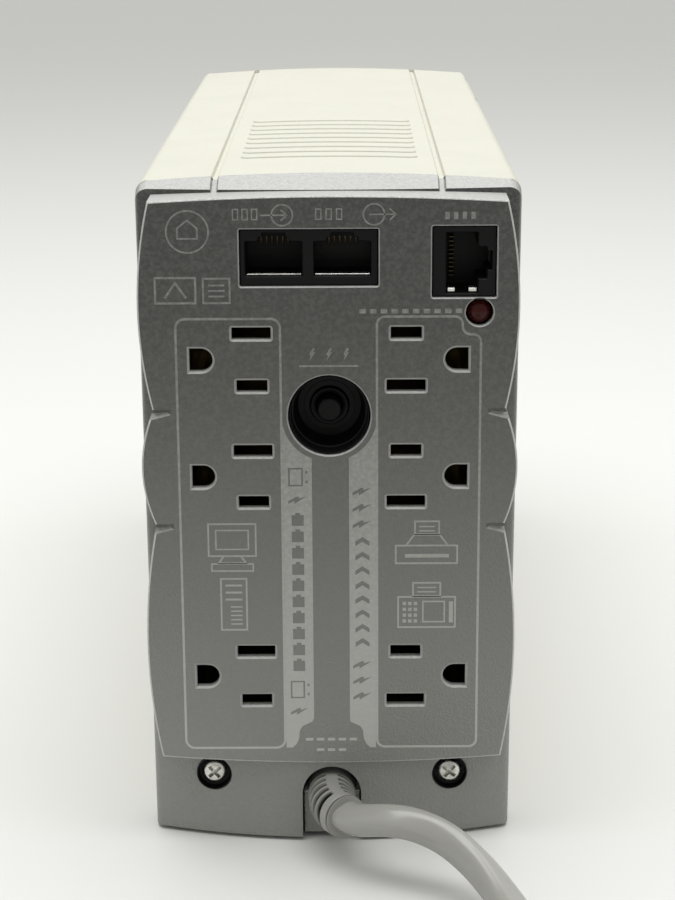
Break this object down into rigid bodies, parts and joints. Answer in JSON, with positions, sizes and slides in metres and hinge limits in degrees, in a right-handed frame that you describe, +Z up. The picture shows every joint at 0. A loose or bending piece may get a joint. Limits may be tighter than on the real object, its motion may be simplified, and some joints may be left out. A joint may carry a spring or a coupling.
{
  "type": "uninterruptible power supply",
  "caption": "Small tower uninterruptible power supply with mains outlets, data-line jacks and a resettable breaker on its rear panel, a front power button and a coiled mains cord with plug.",
  "frame": {"origin": "bottom centre of the body, under its feet, the free mains cord left out", "axes": "+Z up; the front with the power button faces -Y, the rear panel with the outlets faces +Y; +X is to the left for a viewer who faces the rear panel"},
  "size_m": [0.1235, 0.5136, 0.1661],
  "materials": {
    "cream_shell": "satin",
    "panel_grey": "matte",
    "insert_dark": "satin",
    "button_cream": "satin",
    "black_plastic": "satin",
    "foot_rubber": "matte",
    "zinc": "satin",
    "contact_brass": "satin",
    "core_steel": "matte",
    "winding_tape": "satin",
    "battery_case": "matte",
    "board": "satin",
    "component_dark": "satin",
    "sink_aluminium": "satin",
    "lamp_red": "gloss",
    "light_red": "gloss",
    "light_amber": "gloss",
    "light_green": "gloss",
    "lead_red": "satin",
    "lead_black": "satin",
    "cord_grey": "satin",
    "tie_black": "satin"
  },
  "bodies": {
    "case": {"outer_cover": "cream_shell", "rear_panel": "panel_grey", "front_bezel": "cream_shell", "front_insert": "insert_dark", "base_tray": "cream_shell", "foot_1": "foot_rubber", "foot_2": "foot_rubber", "foot_3": "foot_rubber", "foot_4": "foot_rubber", "rear_screw_left": "zinc", "rear_screw_right": "zinc", "breaker_collar": "black_plastic", "breaker_body": "black_plastic", "phone_line_jack": "black_plastic", "data_jack": "black_plastic", "wiring_fault_lamp": "lamp_red", "outlet_carrier_left": "black_plastic", "outlet_carrier_right": "black_plastic", "neutral_contacts_left": "contact_brass", "line_contacts_left": "contact_brass", "ground_contacts_left": "contact_brass", "neutral_contacts_right": "contact_brass", "line_contacts_right": "contact_brass", "ground_contacts_right": "contact_brass", "transformer_core": "core_steel", "transformer_winding": "winding_tape", "battery": "battery_case", "battery_terminal_positive": "contact_brass", "battery_terminal_negative": "contact_brass", "battery_lead_positive": "lead_red", "battery_lead_negative": "lead_black", "main_board": "board", "relay_1": "component_dark", "relay_2": "component_dark", "relay_3": "component_dark", "heat_sink_left": "sink_aluminium", "heat_sink_right": "sink_aluminium", "capacitor_large": "component_dark", "capacitor_small": "component_dark", "buzzer": "black_plastic", "power_switch": "black_plastic", "front_board": "board", "status_light_1": "light_red", "status_light_2": "light_amber", "status_light_3": "light_amber", "status_light_4": "light_green", "strain_relief": "cord_grey", "cord_run": "cord_grey", "cord_coil": "cord_grey", "cord_tail": "cord_grey", "cord_tie": "tie_black", "plug_body": "cord_grey", "plug_blade_line": "contact_brass", "plug_blade_neutral": "contact_brass", "plug_ground_pin": "contact_brass"},
    "power_button": {"power_button": "button_cream"},
    "breaker_reset_button": {"breaker_reset_button": "black_plastic"},
    "battery_door": {"battery_door": "cream_shell"}
  },
  "joints": [
    {"name": "power_button_press", "type": "slide", "parent": "case", "child": "power_button", "axis": [0, 1, 0], "range_m": [0, 0.0015], "stiffness_N_per_m": 300},
    {"name": "breaker_reset_pop", "type": "slide", "parent": "case", "child": "breaker_reset_button", "axis": [0, 1, 0], "range_m": [0, 0.005]},
    {"name": "battery_door_slide", "type": "slide", "parent": "case", "child": "battery_door", "axis": [0, -1, 0], "range_m": [0, 0.012]}
  ]
}
